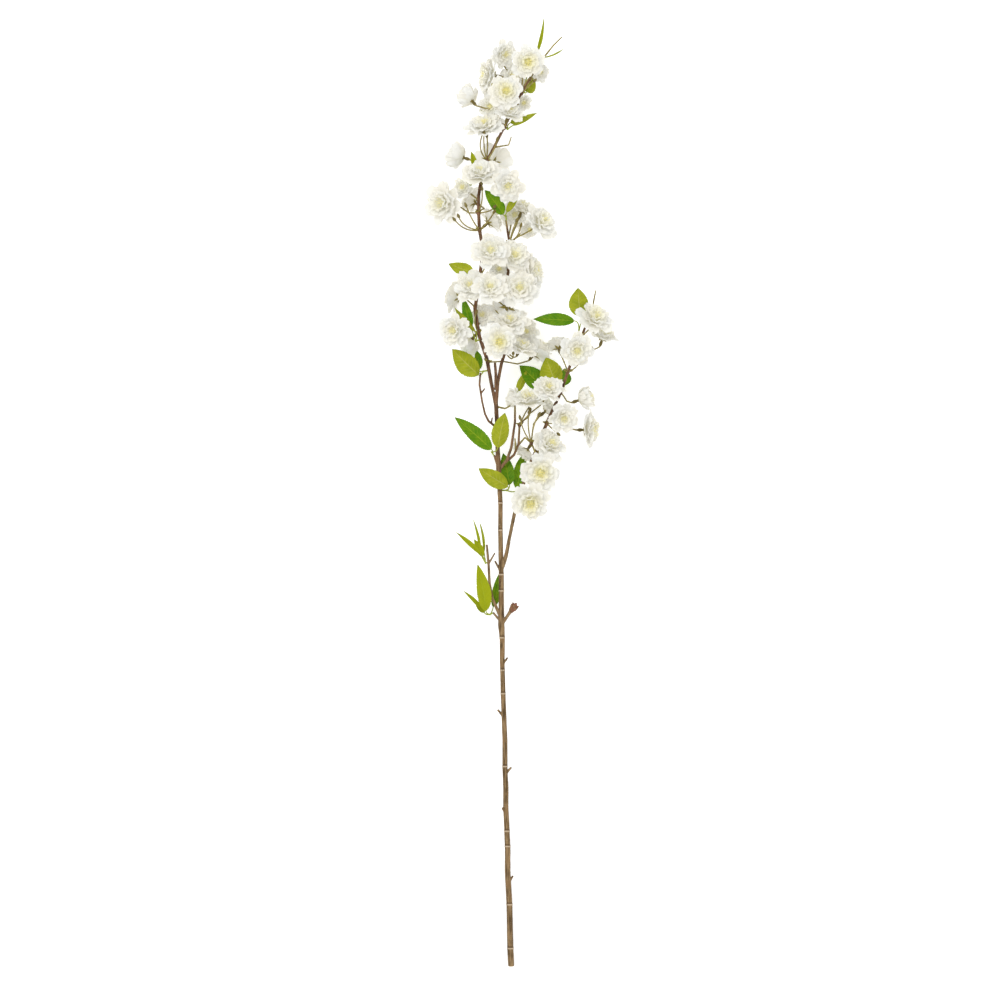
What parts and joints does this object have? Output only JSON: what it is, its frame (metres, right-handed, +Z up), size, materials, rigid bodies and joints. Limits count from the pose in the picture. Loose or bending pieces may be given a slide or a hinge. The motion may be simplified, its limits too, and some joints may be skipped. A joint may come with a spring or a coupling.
{
  "type": "cherry blossom sprig",
  "caption": "Cut cherry blossom sprig lying on its back: a slender forking stem with bunches of white double flowers on thin stalks and sprays of young leaves.",
  "frame": {"origin": "bottom centre of the sprig's bounding box, on the surface that it lies on", "axes": "+Y along the stem from its cut end to its tip, +Z up off the surface towards the side that is looked at, +X to the right"},
  "size_m": [0.2174, 1.0502, 0.0837],
  "materials": {
    "bark": "matt ringed bark, olive-brown below and red-brown above, with olive flower stalks",
    "petal": "matt translucent white petals with a pale yellow-green heart",
    "leaf": "satin leaf, bright green above and yellow-green below"
  },
  "bodies": {
    "root": {"main_stem": "bark", "right_branch": "bark", "blossom_01": "petal", "blossom_02": "petal", "blossom_03": "petal", "blossom_04": "petal", "blossom_05": "petal", "blossom_06": "petal", "blossom_07": "petal", "blossom_08": "petal", "blossom_09": "petal", "blossom_10": "petal", "blossom_11": "petal", "blossom_12": "petal", "blossom_13": "petal", "blossom_14": "petal", "blossom_15": "petal", "blossom_16": "petal", "blossom_17": "petal", "blossom_18": "petal", "blossom_19": "petal", "blossom_20": "petal", "blossom_21": "petal", "blossom_22": "petal", "blossom_23": "petal", "blossom_24": "petal", "blossom_25": "petal", "blossom_26": "petal", "blossom_27": "petal", "blossom_28": "petal", "blossom_29": "petal", "blossom_30": "petal", "blossom_31": "petal", "blossom_32": "petal", "blossom_33": "petal", "blossom_34": "petal", "blossom_35": "petal", "blossom_36": "petal", "blossom_37": "petal", "blossom_38": "petal", "blossom_39": "petal", "blossom_40": "petal", "blossom_41": "petal", "blossom_42": "petal", "blossom_43": "petal", "blossom_44": "petal", "blossom_45": "petal", "leaves_low": "leaf", "leaves_tuft": "leaf", "leaves_pair": "leaf", "leaves_trio": "leaf", "leaves_left": "leaf", "leaves_fold": "leaf", "leaves_tip": "leaf", "leaves_bright": "leaf", "leaves_centre": "leaf", "leaves_top": "leaf", "leaves_fork": "leaf", "leaves_bend": "leaf", "leaves_end": "leaf"}
  },
  "joints": []
}
